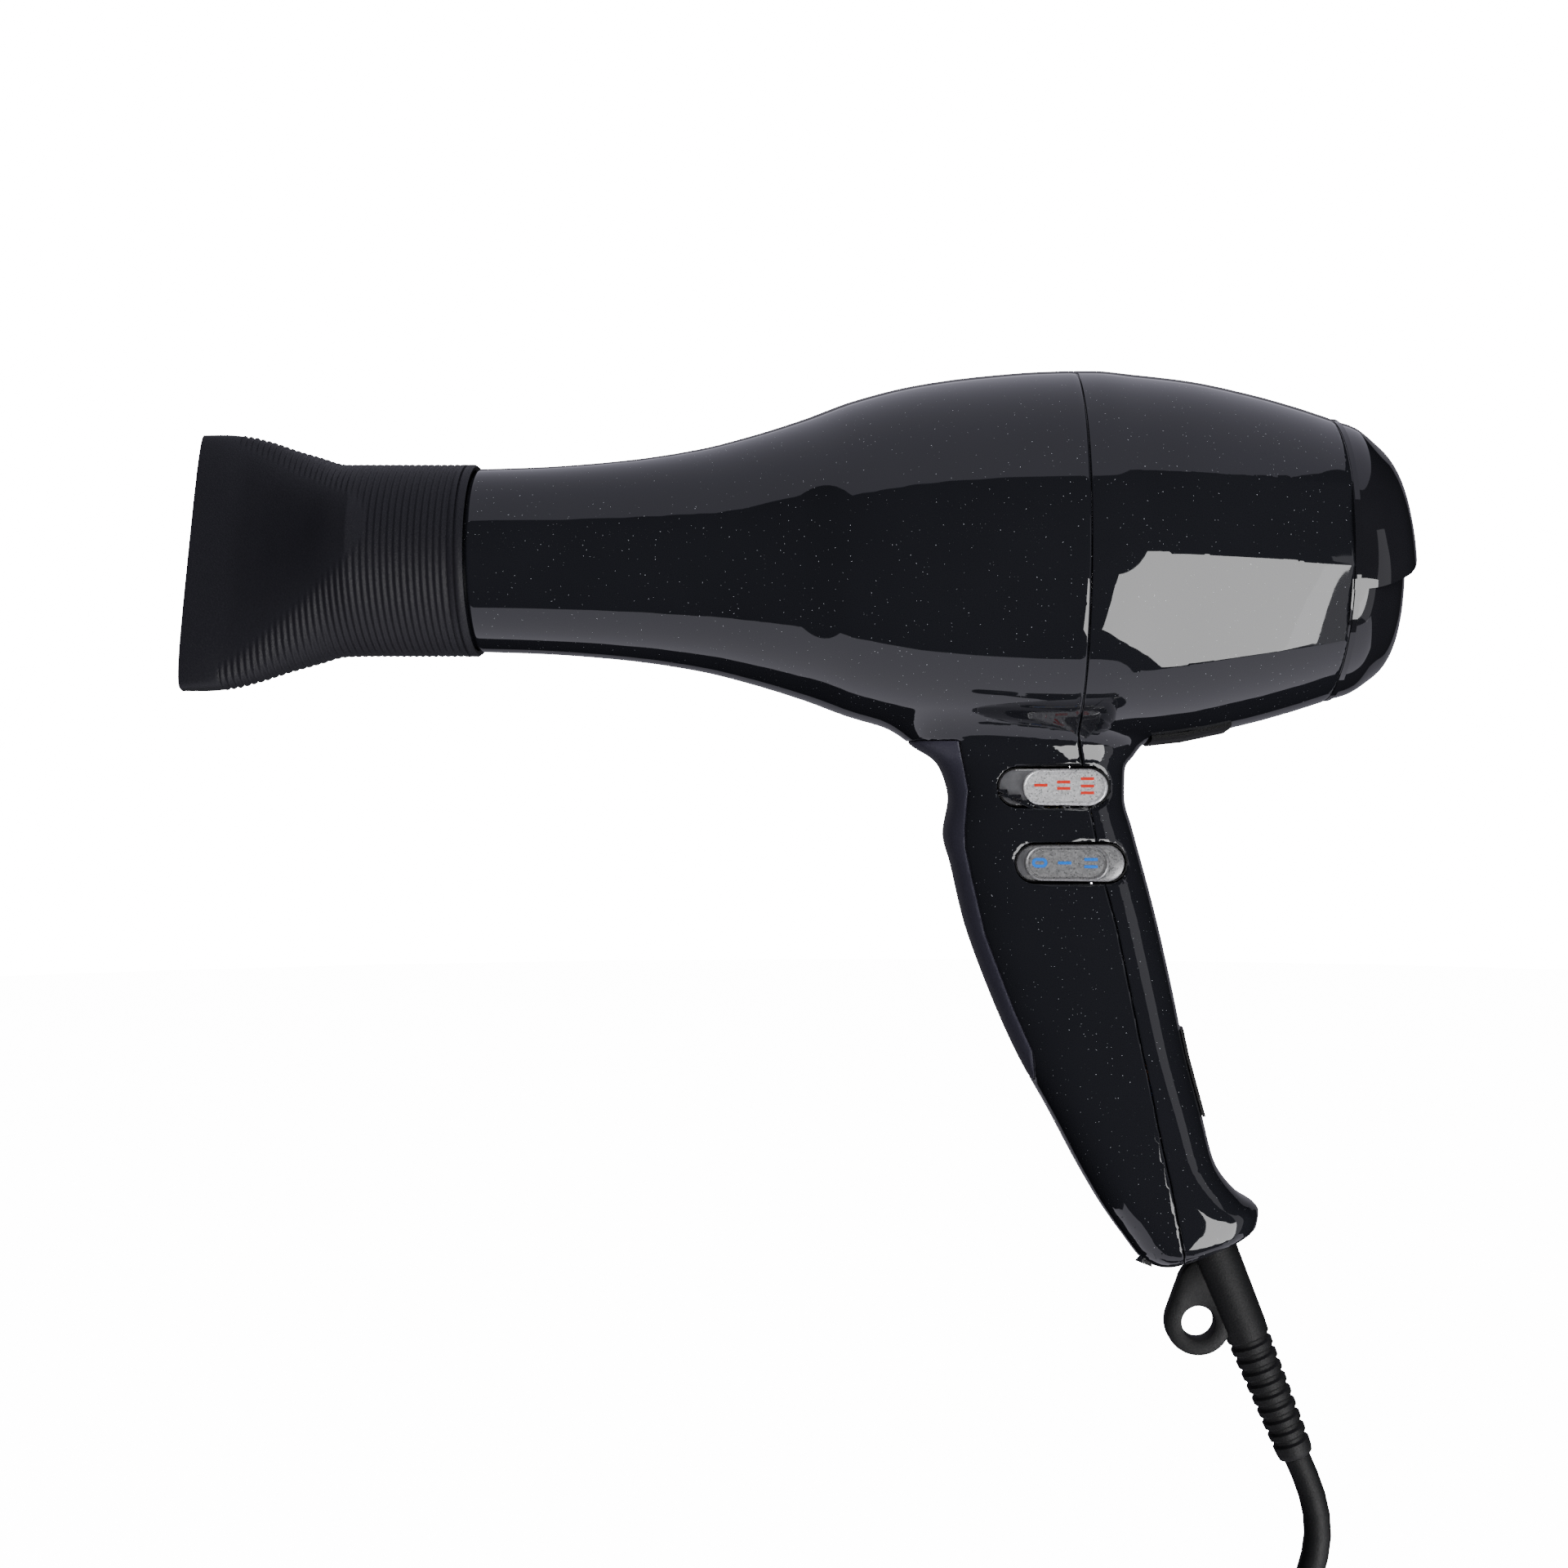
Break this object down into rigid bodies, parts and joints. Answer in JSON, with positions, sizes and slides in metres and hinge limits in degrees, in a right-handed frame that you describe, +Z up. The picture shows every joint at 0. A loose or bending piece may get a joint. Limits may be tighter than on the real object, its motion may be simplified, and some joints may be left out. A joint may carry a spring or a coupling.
{
  "type": "hair dryer",
  "caption": "Hand-held hair dryer with a round barrel, a leaning handle with two rocker switches, a turning flat nozzle, a pull-off intake cap and a coiled mains cord.",
  "frame": {"origin": "middle of the hand grip, straight below the seam between the housings", "axes": "+X to the rear along the barrel, +Z up, +Y to the side away from the switches"},
  "size_m": [0.3093, 0.0954, 0.4859],
  "materials": {
    "gloss_black": "gloss black with fine silver flakes",
    "cap_black": "plain gloss black",
    "grip_satin": "satin, soft",
    "nozzle_black": "fine-grained matt",
    "silver_paint": "silver paint, printed marks",
    "matt_black": "matt",
    "rubber_black": "matt",
    "steel": "bright",
    "mica": "mica sheet",
    "copper": "copper and bronze",
    "carbon": "pressed carbon",
    "ceramic": "unglazed",
    "capacitor_yellow": "moulded",
    "lead_brown": "insulation",
    "lead_blue": "insulation",
    "lead_white": "insulation",
    "lead_red": "insulation"
  },
  "bodies": {
    "housing": {"front_housing": "gloss_black", "rear_housing": "gloss_black", "grip_strip": "grip_satin", "heat_switch_body": "matt_black", "speed_switch_body": "matt_black", "underside_insert": "matt_black", "rating_plate": "matt_black", "outlet_grille": "matt_black", "motor_mount": "matt_black", "cord_clamp": "matt_black", "cord_tie": "matt_black", "cord_boot": "rubber_black", "cord_upper": "rubber_black", "cord_coil": "rubber_black", "cord_lower": "rubber_black", "plug_body": "rubber_black", "damper_ring": "rubber_black", "housing_screw_1": "steel", "housing_screw_2": "steel", "motor_case": "steel", "motor_end_plate": "steel", "stator": "steel", "thermostat": "steel", "heater_coil_1": "steel", "heater_coil_2": "steel", "plug_pin_1": "steel", "plug_pin_2": "steel", "heat_tube": "mica", "mica_board_upright": "mica", "mica_board_level": "mica", "bearing_front": "copper", "bearing_rear": "copper", "brush_upper": "carbon", "brush_lower": "carbon", "thermal_fuse": "ceramic", "terminal_block": "ceramic", "suppression_capacitor": "capacitor_yellow", "supply_lead_1": "lead_brown", "supply_lead_2": "lead_blue", "heater_lead": "lead_white", "motor_lead": "lead_red"},
    "nozzle": {"nozzle": "nozzle_black"},
    "intake_cap": {"rear_cap": "cap_black", "filter_frame": "matt_black", "filter_mesh": "steel"},
    "rotor": {"shaft": "steel", "rotor_core": "copper", "commutator": "copper", "impeller": "matt_black"},
    "heat_rocker": {"heat_rocker": "silver_paint"},
    "speed_rocker": {"speed_rocker": "silver_paint"}
  },
  "joints": [
    {"name": "nozzle_turn", "type": "hinge", "parent": "housing", "child": "nozzle", "pos_m": [-0.165, 0, 0.11], "axis": [1, 0, 0], "continuous": true},
    {"name": "intake_cap_pull", "type": "slide", "parent": "housing", "child": "intake_cap", "axis": [1, 0, 0], "range_m": [0, 0.03]},
    {"name": "fan_spin", "type": "hinge", "parent": "housing", "child": "rotor", "pos_m": [0.01, 0, 0.11], "axis": [1, 0, 0], "continuous": true},
    {"name": "heat_rocker_tilt", "type": "hinge", "parent": "housing", "child": "heat_rocker", "pos_m": [-0.00582, -0.0125, 0.0519], "axis": [0, 0, 1], "range_deg": [0, 16]},
    {"name": "speed_rocker_tilt", "type": "hinge", "parent": "housing", "child": "speed_rocker", "pos_m": [-0.00141, -0.0125, 0.033], "axis": [0, 0, 1], "range_deg": [0, 16]}
  ]
}
